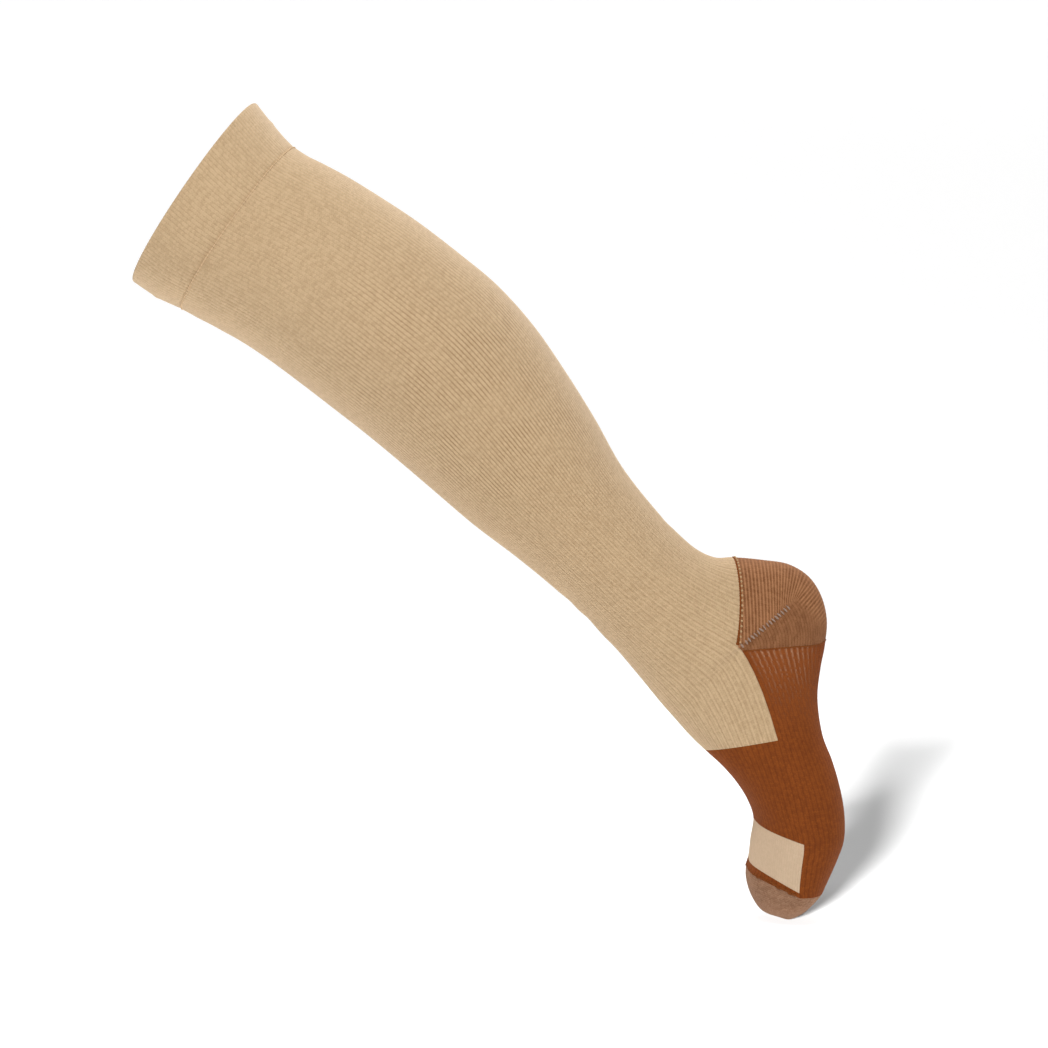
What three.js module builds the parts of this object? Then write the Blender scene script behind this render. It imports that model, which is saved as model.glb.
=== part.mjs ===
import * as THREE from 'three';

// A knee-high compression stocking, filled out and hollow, on tiptoe.
// The cuff's middle is the origin, the leg runs down to the right and its left side faces -Y.

// Driving sizes in millimetres
const WELT_WALL = 2.0;
const LEG_WALL = 1.2;
const HEEL_WALL = 1.5;
const TOE_WALL = 1.5;
const SEAM_GAP = 0.3;
const RIB_HEIGHT = 0.35;

// Counts round half of the tube
const RIBS_PER_HALF = 72;
const RIB_STEPS = 2 * RIBS_PER_HALF;
const PLAIN_STEPS = 24;

// Sections from the cuff to the toe, as [x, z] seen from the side.
// front is on the shin and instep, back on the calf, heel and sole, side on the side line,
// which is halfway between them where it isn't given. half is half the width, and round
// holds the fullness of the front and of the back arc, where 2 is an ellipse.
const SECTIONS = [
  { name: 'rim', front: [-35.4, -51.6], back: [36.0, 51.3], half: 48.0, round: [2.05, 2.05] },
  { name: 'welt middle', front: [-20.9, -61.2], back: [45.8, 38.9], half: 47.2, round: [2.05, 2.05] },
  { name: 'welt seam', front: [-7.5, -67.5], back: [58.0, 25.8], half: 46.4, round: [2.05, 2.05] },
  { name: 'below the welt', front: [7.5, -75.8], back: [71.9, 17.7], half: 46.6, round: [2.0, 2.05] },
  { name: 'calf rise', front: [25.3, -85.2], back: [87.6, 9.3], half: 47.6, round: [2.0, 2.05] },
  { name: 'upper calf', front: [43.4, -97.0], back: [108.5, -3.5], half: 49.6, round: [1.95, 2.05] },
  { name: 'calf', front: [61.5, -110.4], back: [129.9, -17.7], half: 51.2, round: [1.95, 2.05] },
  { name: 'fullest calf', front: [81.3, -125.6], back: [153.7, -35.9], half: 52.0, round: [1.9, 2.05] },
  { name: 'lower calf', front: [100.9, -140.9], back: [175.7, -54.2], half: 51.4, round: [1.9, 2.05] },
  { name: 'calf fall', front: [119.5, -156.3], back: [196.6, -77.4], half: 49.0, round: [1.9, 2.05] },
  { name: 'below the calf', front: [139.2, -173.1], back: [214.6, -103.2], half: 46.0, round: [1.9, 2.05] },
  { name: 'lower leg', front: [162.7, -193.1], back: [232.3, -131.5], half: 41.8, round: [1.95, 2.0] },
  { name: 'above the ankle', front: [187.3, -211.7], back: [247.7, -158.9], half: 37.4, round: [1.95, 2.0] },
  { name: 'ankle', front: [210.5, -230.8], back: [265.1, -181.5], half: 34.4, round: [2.0, 1.95] },
  { name: 'ankle middle', front: [229.7, -248.8], side: [256.0, -223.4], back: [279.6, -197.2],
    half: 33.0, round: [2.0, 1.95] },
  { name: 'ankle low', front: [245.3, -265.1], side: [273.0, -237.0], back: [292.3, -207.9],
    half: 32.6, round: [2.0, 1.95] },
  { name: 'above the heel', front: [258.7, -281.0], side: [293.0, -250.5], back: [302.8, -212.2],
    half: 32.6, round: [2.0, 2.0] },
  { name: 'heel line', front: [270.3, -295.2], side: [313.3, -262.6], back: [312.6, -211.9],
    half: 32.8, round: [2.0, 2.0] },
  { name: 'heel top', side: [313.6, -262.9], back: [330.0, -213.4], half: 32.6, round: [2.0, 2.05] },
  { name: 'heel upper', side: [313.9, -263.2], back: [345.1, -216.0], half: 32.2, round: [2.0, 2.1] },
  { name: 'heel shoulder', side: [314.2, -263.5], back: [356.7, -223.3], half: 31.8, round: [2.0, 2.1] },
  { name: 'heel corner', side: [314.5, -263.8], back: [363.7, -234.3], half: 31.6, round: [2.0, 2.15] },
  { name: 'heel lower', side: [315.0, -264.1], back: [366.9, -248.2], half: 31.4, round: [2.0, 2.15] },
  { name: 'sole line', side: [315.6, -264.7], back: [365.6, -263.3], half: 31.2, round: [2.0, 2.2] },
  { name: 'instep', front: [279.0, -305.1], side: [321.3, -274.6], back: [363.1, -276.1],
    half: 31.4, round: [1.95, 2.2] },
  { name: 'waist of the foot', front: [287.7, -314.9], side: [328.7, -292.2], back: [361.3, -293.0],
    half: 32.2, round: [1.95, 2.2] },
  { name: 'panel edge', front: [296.4, -323.3], side: [335.9, -315.7], back: [364.2, -314.9],
    half: 34.4, round: [1.95, 2.25] },
  { name: 'arch', front: [307.4, -333.5], side: [340.2, -331.7], back: [369.5, -328.9],
    half: 37.6, round: [2.0, 2.3] },
  { name: 'behind the ball', front: [316.1, -343.9], side: [344.2, -347.3], back: [373.8, -343.9],
    half: 40.6, round: [2.0, 2.35] },
  { name: 'ball', front: [321.9, -353.8], side: [347.1, -361.3], back: [376.4, -359.0],
    half: 42.8, round: [2.05, 2.4] },
  { name: 'patch top', front: [324.8, -363.1], side: [349.9, -374.2], back: [376.1, -374.7],
    half: 43.6, round: [2.1, 2.4] },
  { name: 'patch middle', front: [323.1, -374.7], side: [348.5, -388.4], back: [371.9, -386.5],
    half: 43.2, round: [2.1, 2.4] },
  { name: 'patch end', front: [321.9, -385.1], side: [347.4, -401.8], back: [365.0, -401.6],
    half: 42.2, round: [2.15, 2.35] },
  { name: 'cap line', front: [320.9, -388.6], side: [348.0, -404.8], back: [363.5, -404.8],
    half: 41.4, round: [2.15, 2.3] },
  { name: 'toes', front: [320.2, -395.6], side: [345.0, -408.5], back: [357.9, -411.8],
    half: 40.0, round: [2.2, 2.2] },
  { name: 'toe bend', front: [321.6, -403.4], side: [341.8, -411.4], back: [353.5, -416.2],
    half: 36.5, round: [2.2, 2.1] },
  { name: 'toe front', front: [324.8, -410.6], side: [339.3, -414.2], back: [349.2, -419.2],
    half: 30.0, round: [2.1, 2.0] },
  { name: 'toe end', front: [329.0, -416.0], side: [338.2, -417.2], back: [345.1, -421.1],
    half: 19.0, round: [2.0, 2.0] },
  { name: 'tip', front: [338.0, -420.2], side: [338.0, -420.2], back: [338.0, -420.2],
    half: 0, round: [2.0, 2.0] },
];

const rowOf = (name) => SECTIONS.findIndex((section) => section.name === name);
const LAST_ROW = SECTIONS.length - 1;

// Smooth line through one kind of point, with the rows that have such a point
function lineThrough(pointOf) {
  const rows = SECTIONS.map((section, row) => row).filter((row) => pointOf(SECTIONS[row]));
  const points = rows.map((row) => pointOf(SECTIONS[row]));
  const curve = new THREE.CatmullRomCurve3(points, false, 'centripetal');
  return (row) => {
    const next = Math.min(Math.max(rows.findIndex((known) => known >= row), 1), rows.length - 1);
    const share = (row - rows[next - 1]) / (rows[next] - rows[next - 1]);
    return curve.getPoint((next - 1 + share) / (rows.length - 1));
  };
}

const middle = (section) => [0, 1].map((axis) => (section.front[axis] + section.back[axis]) / 2);
const frontLine = lineThrough(({ front }) => front && new THREE.Vector3(front[0], 0, front[1]));
const backLine = lineThrough(({ back }) => new THREE.Vector3(back[0], 0, back[1]));
const sideLine = lineThrough((section) => {
  const [x, z] = section.side ?? middle(section);
  return new THREE.Vector3(x, section.half, z);
});

function fullness(half, row) {
  const low = Math.min(Math.floor(row), LAST_ROW - 1);
  const arc = half === 'front' ? 0 : 1;
  return THREE.MathUtils.lerp(SECTIONS[low].round[arc], SECTIONS[low + 1].round[arc], row - low);
}

// Quarter of a rounded section: depth along the cosine, width along the sine
const ARC_SAMPLES = 48;
function quarterPoint(depth, width, power, angle) {
  return [depth * Math.cos(angle) ** (2 / power), width * Math.sin(angle) ** (2 / power)];
}

// The same quarter by its share of the arc's length, from the silhouette to the side line
function quarterByLength(depth, width, power, share) {
  const points = [];
  for (let step = 0; step <= ARC_SAMPLES; step += 1) {
    points.push(quarterPoint(depth, width, power, (Math.PI / 2) * Math.min(step / ARC_SAMPLES, 1)));
  }
  points[ARC_SAMPLES] = [0, width];
  const lengths = [0];
  for (let step = 1; step <= ARC_SAMPLES; step += 1) {
    const [before, after] = [points[step - 1], points[step]];
    lengths.push(lengths[step - 1] + Math.hypot(after[0] - before[0], after[1] - before[1]));
  }
  const wanted = share * lengths[ARC_SAMPLES];
  const next = Math.min(Math.max(lengths.findIndex((length) => length >= wanted), 1), ARC_SAMPLES);
  const part = (wanted - lengths[next - 1]) / (lengths[next] - lengths[next - 1] || 1);
  return [0, 1].map((axis) => THREE.MathUtils.lerp(points[next - 1][axis], points[next][axis], part));
}

// Point of the cloth's plain outer surface. around runs from -1 on the side line that faces -Y,
// over the shin or the calf at 0, to 1 on the other side line.
function surfacePoint(half, row, around) {
  const edge = half === 'front' ? frontLine(row) : backLine(row);
  const side = sideLine(row);
  const toEdge = new THREE.Vector3(edge.x - side.x, 0, edge.z - side.z);
  const depth = toEdge.length();
  const [along, across] = quarterByLength(depth, side.y, fullness(half, row), Math.abs(around));
  const point = new THREE.Vector3(side.x, Math.sign(around) * across, side.z);
  return depth > 0 ? point.addScaledVector(toEdge, along / depth) : point;
}

const ROW_STEP = 0.02;
const AROUND_STEP = 0.01;

function alongTangent(half, row, around) {
  const before = surfacePoint(half, Math.max(row - ROW_STEP, 0), around);
  const after = surfacePoint(half, Math.min(row + ROW_STEP, LAST_ROW), around);
  return after.sub(before).normalize();
}

function aroundTangent(half, row, around) {
  const before = surfacePoint(half, row, Math.max(around - AROUND_STEP, -1));
  const after = surfacePoint(half, row, Math.min(around + AROUND_STEP, 1));
  return after.sub(before).normalize();
}

// Outward normal. On the side lines it is the mean of the two halves, so that they meet.
function surfaceNormal(half, row, around) {
  const halves = Math.abs(around) === 1 ? ['front', 'back'] : [half];
  const sum = new THREE.Vector3();
  for (const name of halves) {
    const normal = alongTangent(name, row, around).cross(aroundTangent(name, row, around));
    sum.add(name === 'front' ? normal.negate() : normal);
  }
  return sum.normalize();
}

// How far an edge bows along the cloth on one of its halves, most at half way to the side line,
// or nearer to the shin and toes where skew is under 1
function bowOf({ bowed, bow, skew }, half, around) {
  return bowed === half ? bow * Math.sin(Math.PI * Math.abs(around) ** skew) : 0;
}

// Cloth point of a row, moved along the cloth by the row's shift and bow, and in from the side
// line by half a seam gap where only one half is knitted there. lift is the height over the
// plain surface.
function clothPoint(row, half, around, lift) {
  const { at, shift, halves } = row;
  if (at === LAST_ROW) {
    const inward = surfacePoint('front', LAST_ROW - 1, 1).setY(0).sub(surfacePoint('front', LAST_ROW, 1));
    return surfacePoint('front', LAST_ROW, 1).addScaledVector(inward.normalize(), -lift);
  }
  const point = surfacePoint(half, at, around);
  point.addScaledVector(alongTangent(half, at, around), shift + bowOf(row, half, around));
  if (halves !== 'both' && Math.abs(around) === 1) {
    point.addScaledVector(aroundTangent(half, at, around), (-Math.sign(around) * SEAM_GAP) / 2);
  }
  return point.addScaledVector(surfaceNormal(half, at, around), lift);
}

// Collects triangles over welded points
class Shell {
  constructor() {
    this.positions = [];
    this.indexOf = new Map();
    this.triangles = [];
  }

  vertex(point) {
    const key = point.toArray().map((value) => Math.round(value * 200)).join(',');
    if (!this.indexOf.has(key)) {
      this.indexOf.set(key, this.positions.length / 3);
      this.positions.push(...point.toArray());
    }
    return this.indexOf.get(key);
  }

  triangle(a, b, c, flipped) {
    if (a !== b && b !== c && c !== a) this.triangles.push(...(flipped ? [a, c, b] : [a, b, c]));
  }

  quad(a, b, c, d, flipped) {
    this.triangle(a, b, c, flipped);
    this.triangle(a, c, d, flipped);
  }

  // Closes the edge of the wall between a finer and a coarser line of points
  strip(outer, inner, flipped) {
    let out = 0;
    let into = 0;
    while (out < outer.length - 1 || into < inner.length - 1) {
      const nextOut = (out + 1) / (outer.length - 1);
      const nextIn = (into + 1) / (inner.length - 1);
      if (into === inner.length - 1 || (out < outer.length - 1 && nextOut <= nextIn)) {
        this.triangle(outer[out + 1], outer[out], inner[into], flipped);
        out += 1;
      } else {
        this.triangle(outer[out], inner[into], inner[into + 1], flipped);
        into += 1;
      }
    }
  }

  geometry() {
    const geometry = new THREE.BufferGeometry();
    geometry.setAttribute('position', new THREE.Float32BufferAttribute(this.positions, 3));
    geometry.setIndex(this.triangles);
    geometry.computeVertexNormals();
    return geometry;
  }
}

// A knitted zone: a wall over the given rows, ribbed or plain outside and plain inside
function knittedZone({ name, rows, wall, ribbed, colour }) {
  const shell = new Shell();
  const outerSteps = ribbed ? RIB_STEPS : PLAIN_STEPS;
  const pointsOf = (row, half, steps, liftOf) => Array.from({ length: steps + 1 }, (_, step) => (
    shell.vertex(clothPoint(row, half, (2 * step) / steps - 1, liftOf(step)))
  ));
  const ribLift = (step) => (ribbed && step % 2 === 1 ? RIB_HEIGHT : 0);
  const has = (row, half) => Boolean(row) && (row.halves === 'both' || row.halves === half);

  for (const half of ['front', 'back']) {
    const other = half === 'front' ? 'back' : 'front';
    const turned = half === 'back';
    const outer = rows.map((row) => has(row, half) && pointsOf(row, half, outerSteps, ribLift));
    const inner = rows.map((row) => has(row, half) && pointsOf(row, half, PLAIN_STEPS, () => -wall));
    const joined = (index) => has(rows[index], half) && has(rows[index + 1], half);

    rows.forEach((row, index) => {
      if (joined(index)) {
        for (const [lines, flipped] of [[outer, turned], [inner, !turned]]) {
          const [line, next] = [lines[index], lines[index + 1]];
          for (let step = 0; step < line.length - 1; step += 1) {
            shell.quad(line[step], line[step + 1], next[step + 1], next[step], flipped);
          }
        }
        if (!(has(row, other) && has(rows[index + 1], other))) {
          for (const last of [false, true]) {
            const corner = (lines, rowIndex) => lines[rowIndex].at(last ? -1 : 0);
            shell.quad(
              corner(outer, index), corner(outer, index + 1),
              corner(inner, index + 1), corner(inner, index),
              turned !== last,
            );
          }
        }
      }
      if (joined(index) && !joined(index - 1)) shell.strip(outer[index], inner[index], turned);
      if (joined(index - 1) && !joined(index) && row.at < LAST_ROW) {
        shell.strip(outer[index], inner[index], !turned);
      }
    });
  }

  const material = new THREE.MeshStandardMaterial({ color: colour, roughness: KNIT_ROUGHNESS, metalness: 0 });
  const mesh = new THREE.Mesh(shell.geometry(), material);
  mesh.name = name;
  return mesh;
}

// Rows of a zone: its first and last row pull back by half a seam gap where shift says so
const STRAIGHT = { bowed: 'none' };
const knitRow = (at, halves, shift = 0, edge = STRAIGHT) => ({ at, halves, shift, ...edge });
const START = SEAM_GAP / 2;
const END = -SEAM_GAP / 2;
const through = (first, last, halves, steps) => Array.from({ length: steps - 1 }, (_, step) => (
  knitRow(first + ((last - first) * (step + 1)) / steps, halves)
));

// Bows of the zones' edges, in millimetres along the cloth
const HEEL_BOW = { bowed: 'back', bow: 2.2, skew: 1 };
const PATCH_TOP_BOW = { bowed: 'front', bow: 1.6, skew: 1 };
const TOE_WAVE = { bowed: 'front', bow: 3.2, skew: 0.6 };

const RIM = rowOf('rim');
const WELT_SEAM = rowOf('welt seam');
const HEEL_LINE = rowOf('heel line');
const SOLE_LINE = rowOf('sole line');
const PANEL_EDGE = rowOf('panel edge');
const PATCH_TOP = rowOf('patch top');
const PATCH_END = rowOf('patch end');
const CAP_LINE = rowOf('cap line');

const BEIGE = 0xcfb188;
const COPPER = 0x8a4a1f;
const PLATED = 0x966a50;
const KNIT_ROUGHNESS = 0.9;

// The turned band at the top, two layers thick
function makeWelt() {
  return knittedZone({
    name: 'welt',
    rows: [
      knitRow(RIM, 'both'),
      ...through(RIM, WELT_SEAM, 'both', 2),
      knitRow(WELT_SEAM, 'both', END),
    ],
    wall: WELT_WALL,
    ribbed: true,
    colour: BEIGE,
  });
}

// The graduated tube, which runs on over the instep as a panel
function makeLeg() {
  return knittedZone({
    name: 'leg',
    rows: [
      knitRow(WELT_SEAM, 'both', START),
      ...through(WELT_SEAM, HEEL_LINE, 'both', 12),
      knitRow(HEEL_LINE, 'both', END, HEEL_BOW),
      ...through(HEEL_LINE, PANEL_EDGE, 'front', 4),
      knitRow(PANEL_EDGE, 'front', END),
    ],
    wall: LEG_WALL,
    ribbed: true,
    colour: BEIGE,
  });
}

// The pocket knitted to and fro round the heel
function makeHeelPocket() {
  return knittedZone({
    name: 'heel_pocket',
    rows: [
      knitRow(HEEL_LINE, 'back', START, HEEL_BOW),
      ...through(HEEL_LINE, SOLE_LINE, 'back', 12),
      knitRow(SOLE_LINE, 'back', END),
    ],
    wall: HEEL_WALL,
    ribbed: false,
    colour: PLATED,
  });
}

// The sole, the band all round the arch, and the narrow line in front of the toe panel
function makeFoot() {
  return knittedZone({
    name: 'foot',
    rows: [
      knitRow(SOLE_LINE, 'back', START),
      ...through(SOLE_LINE, PANEL_EDGE, 'back', 3),
      knitRow(PANEL_EDGE, 'both', START),
      ...through(PANEL_EDGE, PATCH_TOP, 'both', 5),
      knitRow(PATCH_TOP, 'both', END, PATCH_TOP_BOW),
      ...through(PATCH_TOP, PATCH_END, 'back', 2),
      knitRow(PATCH_END, 'both', START, TOE_WAVE),
      knitRow(CAP_LINE, 'both', END, TOE_WAVE),
    ],
    wall: LEG_WALL,
    ribbed: false,
    colour: COPPER,
  });
}

// The window over the toes
function makeToePanel() {
  return knittedZone({
    name: 'toe_panel',
    rows: [
      knitRow(PATCH_TOP, 'front', START, PATCH_TOP_BOW),
      ...through(PATCH_TOP, PATCH_END, 'front', 2),
      knitRow(PATCH_END, 'front', END, TOE_WAVE),
    ],
    wall: LEG_WALL,
    ribbed: false,
    colour: BEIGE,
  });
}

// The closed end
function makeToeCap() {
  return knittedZone({
    name: 'toe_cap',
    rows: [
      knitRow(CAP_LINE, 'both', START, TOE_WAVE),
      ...through(CAP_LINE, LAST_ROW, 'both', 7),
      knitRow(LAST_ROW, 'both'),
    ],
    wall: TOE_WALL,
    ribbed: false,
    colour: PLATED,
  });
}

const stocking = new THREE.Group();
stocking.add(makeWelt(), makeLeg(), makeHeelPocket(), makeFoot(), makeToePanel(), makeToeCap());

export default stocking;
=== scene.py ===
import math
import bmesh
import bpy
import numpy as np
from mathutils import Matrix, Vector


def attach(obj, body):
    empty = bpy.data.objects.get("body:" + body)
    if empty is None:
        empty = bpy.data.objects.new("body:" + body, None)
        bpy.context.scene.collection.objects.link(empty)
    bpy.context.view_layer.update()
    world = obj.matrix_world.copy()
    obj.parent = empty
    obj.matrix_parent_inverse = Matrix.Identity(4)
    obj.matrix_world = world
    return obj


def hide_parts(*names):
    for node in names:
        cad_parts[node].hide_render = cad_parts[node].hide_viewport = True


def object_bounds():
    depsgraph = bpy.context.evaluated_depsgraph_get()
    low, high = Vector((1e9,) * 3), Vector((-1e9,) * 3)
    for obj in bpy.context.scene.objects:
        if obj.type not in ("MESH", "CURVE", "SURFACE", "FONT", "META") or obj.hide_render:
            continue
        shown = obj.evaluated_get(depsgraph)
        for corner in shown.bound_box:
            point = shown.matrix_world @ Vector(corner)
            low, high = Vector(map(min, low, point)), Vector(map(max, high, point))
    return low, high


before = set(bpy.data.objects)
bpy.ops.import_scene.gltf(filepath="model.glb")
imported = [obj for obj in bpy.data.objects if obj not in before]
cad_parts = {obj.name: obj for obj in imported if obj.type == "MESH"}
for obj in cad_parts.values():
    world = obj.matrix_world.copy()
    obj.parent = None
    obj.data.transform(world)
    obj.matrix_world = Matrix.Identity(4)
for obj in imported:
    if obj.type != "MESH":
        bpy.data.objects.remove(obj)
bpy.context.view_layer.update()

# Leg: the graduated tube of fine beige ribs, from the welt to the heel, which runs on over the
# instep as a panel. It is knitted in one with the other zones on a circular machine, from matt
# yarn with an elastic inlay, and every zone lies on the form that this table gives.
MM = 0.001
NONE = float("nan")
COLUMNS = ("front x", "front z", "side x", "side z", "back x", "back z", "half width",
           "front fullness", "back fullness")
SECTIONS = {
    "rim": (-35.4, -51.6, NONE, NONE, 36.0, 51.3, 48.0, 2.05, 2.05),
    "welt middle": (-20.9, -61.2, NONE, NONE, 45.8, 38.9, 47.2, 2.05, 2.05),
    "welt seam": (-7.5, -67.5, NONE, NONE, 58.0, 25.8, 46.4, 2.05, 2.05),
    "below the welt": (7.5, -75.8, NONE, NONE, 71.9, 17.7, 46.6, 2.0, 2.05),
    "calf rise": (25.3, -85.2, NONE, NONE, 87.6, 9.3, 47.6, 2.0, 2.05),
    "upper calf": (43.4, -97.0, NONE, NONE, 108.5, -3.5, 49.6, 1.95, 2.05),
    "calf": (61.5, -110.4, NONE, NONE, 129.9, -17.7, 51.2, 1.95, 2.05),
    "fullest calf": (81.3, -125.6, NONE, NONE, 153.7, -35.9, 52.0, 1.9, 2.05),
    "lower calf": (100.9, -140.9, NONE, NONE, 175.7, -54.2, 51.4, 1.9, 2.05),
    "calf fall": (119.5, -156.3, NONE, NONE, 196.6, -77.4, 49.0, 1.9, 2.05),
    "below the calf": (139.2, -173.1, NONE, NONE, 214.6, -103.2, 46.0, 1.9, 2.05),
    "lower leg": (162.7, -193.1, NONE, NONE, 232.3, -131.5, 41.8, 1.95, 2.0),
    "above the ankle": (187.3, -211.7, NONE, NONE, 247.7, -158.9, 37.4, 1.95, 2.0),
    "ankle": (210.5, -230.8, NONE, NONE, 265.1, -181.5, 34.4, 2.0, 1.95),
    "ankle middle": (229.7, -248.8, 256.0, -223.4, 279.6, -197.2, 33.0, 2.0, 1.95),
    "ankle low": (245.3, -265.1, 273.0, -237.0, 292.3, -207.9, 32.6, 2.0, 1.95),
    "above the heel": (258.7, -281.0, 293.0, -250.5, 302.8, -212.2, 32.6, 2.0, 2.0),
    "heel line": (270.3, -295.2, 313.3, -262.6, 312.6, -211.9, 32.8, 2.0, 2.0),
    "heel top": (NONE, NONE, 313.6, -262.9, 330.0, -213.4, 32.6, 2.0, 2.05),
    "heel upper": (NONE, NONE, 313.9, -263.2, 345.1, -216.0, 32.2, 2.0, 2.1),
    "heel shoulder": (NONE, NONE, 314.2, -263.5, 356.7, -223.3, 31.8, 2.0, 2.1),
    "heel corner": (NONE, NONE, 314.5, -263.8, 363.7, -234.3, 31.6, 2.0, 2.15),
    "heel lower": (NONE, NONE, 315.0, -264.1, 366.9, -248.2, 31.4, 2.0, 2.15),
    "sole line": (NONE, NONE, 315.6, -264.7, 365.6, -263.3, 31.2, 2.0, 2.2),
    "instep": (279.0, -305.1, 321.3, -274.6, 363.1, -276.1, 31.4, 1.95, 2.2),
    "waist of the foot": (287.7, -314.9, 328.7, -292.2, 361.3, -293.0, 32.2, 1.95, 2.2),
    "panel edge": (296.4, -323.3, 335.9, -315.7, 364.2, -314.9, 34.4, 1.95, 2.25),
    "arch": (307.4, -333.5, 340.2, -331.7, 369.5, -328.9, 37.6, 2.0, 2.3),
    "behind the ball": (316.1, -343.9, 344.2, -347.3, 373.8, -343.9, 40.6, 2.0, 2.35),
    "ball": (321.9, -353.8, 347.1, -361.3, 376.4, -359.0, 42.8, 2.05, 2.4),
    "patch top": (324.8, -363.1, 349.9, -374.2, 376.1, -374.7, 43.6, 2.1, 2.4),
    "patch middle": (323.1, -374.7, 348.5, -388.4, 371.9, -386.5, 43.2, 2.1, 2.4),
    "patch end": (321.9, -385.1, 347.4, -401.8, 365.0, -401.6, 42.2, 2.15, 2.35),
    "cap line": (320.9, -388.6, 348.0, -404.8, 363.5, -404.8, 41.4, 2.15, 2.3),
    "toes": (320.2, -395.6, 345.0, -408.5, 357.9, -411.8, 40.0, 2.2, 2.2),
    "toe bend": (321.6, -403.4, 341.8, -411.4, 353.5, -416.2, 36.5, 2.2, 2.1),
    "toe front": (324.8, -410.6, 339.3, -414.2, 349.2, -419.2, 30.0, 2.1, 2.0),
    "toe end": (329.0, -416.0, 338.2, -417.2, 345.1, -421.1, 19.0, 2.0, 2.0),
    "tip": (338.0, -420.2, 338.0, -420.2, 338.0, -420.2, 0.0, 2.0, 2.0),
}
ROW_OF = {name: row for row, name in enumerate(SECTIONS)}
section = dict(zip(COLUMNS, np.array(list(SECTIONS.values())).T))
front_points = np.column_stack([section["front x"], 0 * section["half width"], section["front z"]])
back_points = np.column_stack([section["back x"], 0 * section["half width"], section["back z"]])
side_points = np.column_stack([section["side x"], section["half width"], section["side z"]])
side_points = np.where(np.isnan(side_points), (front_points + back_points) / 2, side_points)


def smooth_line(points, rows):
    """Centripetal Catmull-Rom line: between two points a cubic, whose slope at each of them comes
    from both its neighbours, weighed by the square roots of the distances between them."""
    known = np.flatnonzero(~np.isnan(points[:, 0]))
    points = points[known]
    places = np.interp(rows, known, np.arange(len(known)))
    points = np.vstack([2 * points[0] - points[1], points, 2 * points[-1] - points[-2]])
    roots = np.sqrt(np.linalg.norm(np.diff(points, axis=0), axis=1))
    first = np.minimum(places.astype(int), len(known) - 2)
    share = (places - first)[..., None]
    before, start, end, after = (points[first + step] for step in range(4))
    root_in, root, root_out = (roots[first + step][..., None] for step in range(3))
    leave = (start - before) / root_in - (end - before) / (root_in + root) + (end - start) / root
    arrive = (end - start) / root - (after - start) / (root + root_out) + (after - end) / root_out
    leave, arrive = leave * root, arrive * root
    return (start + leave * share + (3 * (end - start) - 2 * leave - arrive) * share ** 2
            + (2 * (start - end) + leave + arrive) * share ** 3)


def cloth(rows, around, on_front):
    """Plain cloth at a row of the table and a share round half of the tube. Each half section is
    two rounded quarters (x/depth)^p + (y/width)^p = 1 from the silhouette, at share 0, to the side
    lines, at -1 and 1, and the share counts along their length."""
    rows, around, on_front = np.broadcast_arrays(rows, around, on_front)
    side = smooth_line(side_points, rows)
    edge = np.where(on_front[..., None], smooth_line(front_points, rows),
                    smooth_line(back_points, rows))
    reach = (edge - side) * (1, 0, 1)
    depth, width = np.linalg.norm(reach, axis=-1), side[..., 1]
    every = np.arange(len(SECTIONS))
    power = 2 / np.where(on_front, np.interp(rows, every, section["front fullness"]),
                         np.interp(rows, every, section["back fullness"]))
    turn = np.linspace(0, math.pi / 2, 49)
    arc_x = depth[..., None] * np.cos(turn).clip(0) ** power[..., None]
    arc_y = width[..., None] * np.sin(turn) ** power[..., None]
    steps = np.hypot(np.diff(arc_x), np.diff(arc_y))
    lengths = np.concatenate([0 * depth[..., None], np.cumsum(steps, axis=-1)], axis=-1)
    wanted = (np.abs(around) * lengths[..., -1])[..., None]
    after = (lengths < wanted).sum(-1, keepdims=True).clip(1, 48)
    low, high = (np.take_along_axis(lengths, after - step, -1) for step in (1, 0))
    angle = (after - 1 + (wanted - low) / np.maximum(high - low, 1e-9))[..., 0] * turn[1]
    along = np.cos(angle).clip(0) ** power
    across = np.sign(around) * width * np.sin(angle) ** power
    return np.stack([side[..., 0], across, side[..., 2]], axis=-1) + reach * along[..., None]


# How far a knitted line bows towards the toe, in mm, how near its peak is to the silhouette, and
# how far it lies towards the toe on the silhouette itself
BOWS = {
    "heel line": {"on front": False, "bow": 2.2, "skew": 1.0, "outline": 0},
    "sole line": {"on front": False, "bow": -1.2, "skew": 1.0, "outline": -3.6},
    "patch top": {"on front": True, "bow": 1.6, "skew": 1.0, "outline": 0},
    "patch end": {"on front": True, "bow": 3.2, "skew": 0.6, "outline": 0},
    "cap line": {"on front": True, "bow": 3.2, "skew": 0.6, "outline": 0},
}


def ring(turn):
    """Places once round the tube, by their part of a turn: from the left side line over the front
    half and back under the other. Gives their share of a half and whether it is the front one."""
    turn = turn % 1
    return np.where(turn < 0.5, 4 * turn - 1, 3 - 4 * turn), turn < 0.5


def pace(rows, around, on_front):
    """Millimetres of cloth to one row of the table."""
    step = 0.05
    ahead = cloth(rows + step, around, on_front) - cloth(rows, around, on_front)
    return np.linalg.norm(ahead, axis=-1) / step


def line_rows(name, around, on_front):
    """A knitted line's row in each column: straight round the tube, plus its bow on one half,
    which is bow * sin(pi * share^skew) + outline * exp(-(share / 0.2)^2)."""
    rows = np.full(around.shape, float(ROW_OF[name]))
    if name not in BOWS:
        return rows
    edge = BOWS[name]
    wave = edge["bow"] * np.sin(math.pi * np.abs(around) ** edge["skew"])
    wave = wave + edge["outline"] * np.exp(-(around / 0.2) ** 2)
    return rows + np.where(on_front == edge["on front"], wave, 0) / pace(rows, around, on_front)


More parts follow.
